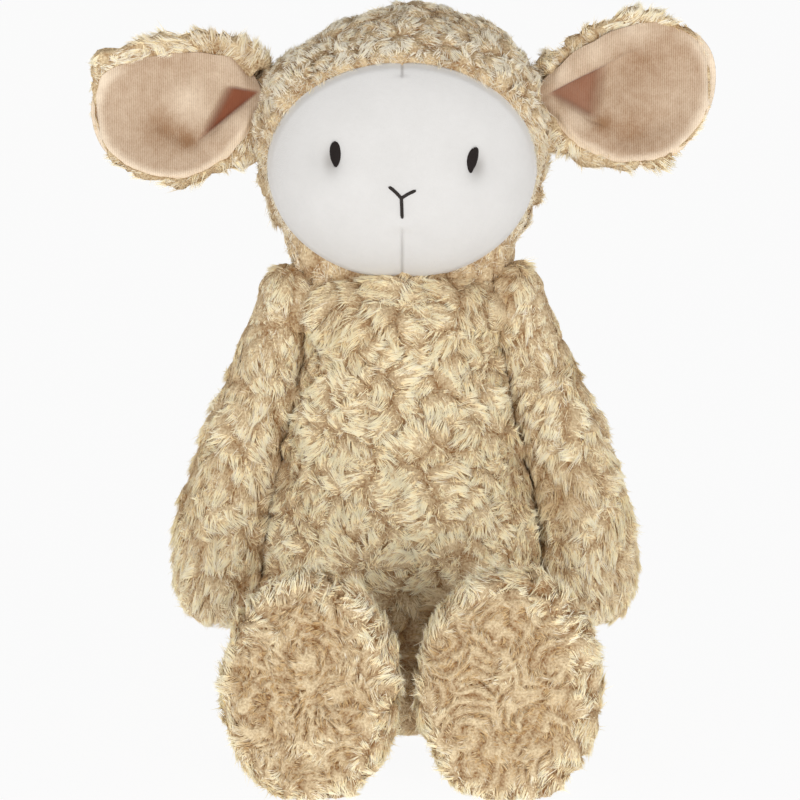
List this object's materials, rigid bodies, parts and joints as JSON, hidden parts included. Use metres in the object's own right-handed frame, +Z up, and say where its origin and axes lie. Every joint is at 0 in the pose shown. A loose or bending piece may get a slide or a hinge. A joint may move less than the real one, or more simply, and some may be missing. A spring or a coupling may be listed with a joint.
{
  "type": "plush sheep",
  "caption": "Seated plush sheep with a stuffed furry body, a smooth white face, wide lined ears, hanging arms and forward legs.",
  "frame": {"origin": "middle of the small flat under the seat, on the surface that the sheep sits on", "axes": "+Z up from the seat to the head, -Y forward, the way the face and the soles look, +X to the viewer's right as seen from in front"},
  "size_m": [0.2423, 0.2002, 0.287],
  "materials": {
    "fur": "cream plush with a deep swirled pile, matte",
    "face_knit": "off-white short-napped knit, matte",
    "ear_velour": "tan fine-ribbed velour, matte",
    "eye_thread": "near-black satin stitch, slight gloss",
    "mouth_thread": "dark brown embroidery thread",
    "seam_thread": "tan sewing thread",
    "stuffing": "white polyester fibre",
    "pouch_cloth": "plain undyed woven cloth",
    "pellets": "white plastic pellets"
  },
  "bodies": {
    "torso": {"body_skin": "fur", "body_stuffing": "stuffing", "pellet_pouch": "pouch_cloth", "pellets": "pellets", "neck_stitching": "seam_thread"},
    "head": {"head_skin": "fur", "face_panel": "face_knit", "head_stuffing": "stuffing", "left_eye": "eye_thread", "right_eye": "eye_thread", "mouth_stitch": "mouth_thread"},
    "left_ear": {"left_ear_fur": "fur", "left_ear_lining": "ear_velour"},
    "right_ear": {"right_ear_fur": "fur", "right_ear_lining": "ear_velour"},
    "left_arm": {"left_arm_skin": "fur", "left_arm_stuffing": "stuffing"},
    "right_arm": {"right_arm_skin": "fur", "right_arm_stuffing": "stuffing"},
    "left_leg": {"left_leg_skin": "fur", "left_leg_sole": "fur", "left_leg_stuffing": "stuffing"},
    "right_leg": {"right_leg_skin": "fur", "right_leg_sole": "fur", "right_leg_stuffing": "stuffing"},
    "tail": {"tail": "fur"}
  },
  "joints": [
    {"name": "head_nod", "type": "hinge", "parent": "torso", "child": "head", "pos_m": [0, 0, 0.166], "axis": [1, 0, 0], "range_deg": [-12, 15], "stiffness_Nm_per_rad": 0.2},
    {"name": "left_ear_flop", "type": "hinge", "parent": "head", "child": "left_ear", "pos_m": [-0.0515, 0.002, 0.2515], "axis": [0, 1, 0], "range_deg": [-18, 52], "stiffness_Nm_per_rad": 0.05, "springref_deg": 1.72},
    {"name": "right_ear_flop", "type": "hinge", "parent": "head", "child": "right_ear", "pos_m": [0.0515, 0.002, 0.2515], "axis": [0, -1, 0], "range_deg": [-29, 41], "stiffness_Nm_per_rad": 0.05, "springref_deg": 1.72},
    {"name": "left_arm_swing", "type": "hinge", "parent": "torso", "child": "left_arm", "pos_m": [-0.045, -0.002, 0.172], "axis": [-1, 0, 0], "range_deg": [-35, 110]},
    {"name": "right_arm_swing", "type": "hinge", "parent": "torso", "child": "right_arm", "pos_m": [0.045, -0.002, 0.172], "axis": [-1, 0, 0], "range_deg": [-35, 110]},
    {"name": "left_leg_lift", "type": "hinge", "parent": "torso", "child": "left_leg", "pos_m": [-0.033, -0.047, 0.023], "axis": [-1, 0, 0], "range_deg": [-35, 30]},
    {"name": "right_leg_lift", "type": "hinge", "parent": "torso", "child": "right_leg", "pos_m": [0.033, -0.047, 0.023], "axis": [-1, 0, 0], "range_deg": [-35, 30]},
    {"name": "tail_wag", "type": "hinge", "parent": "torso", "child": "tail", "pos_m": [0, 0.04612, 0.044], "axis": [1, 0, 0], "range_deg": [0, 35], "stiffness_Nm_per_rad": 0.02}
  ]
}
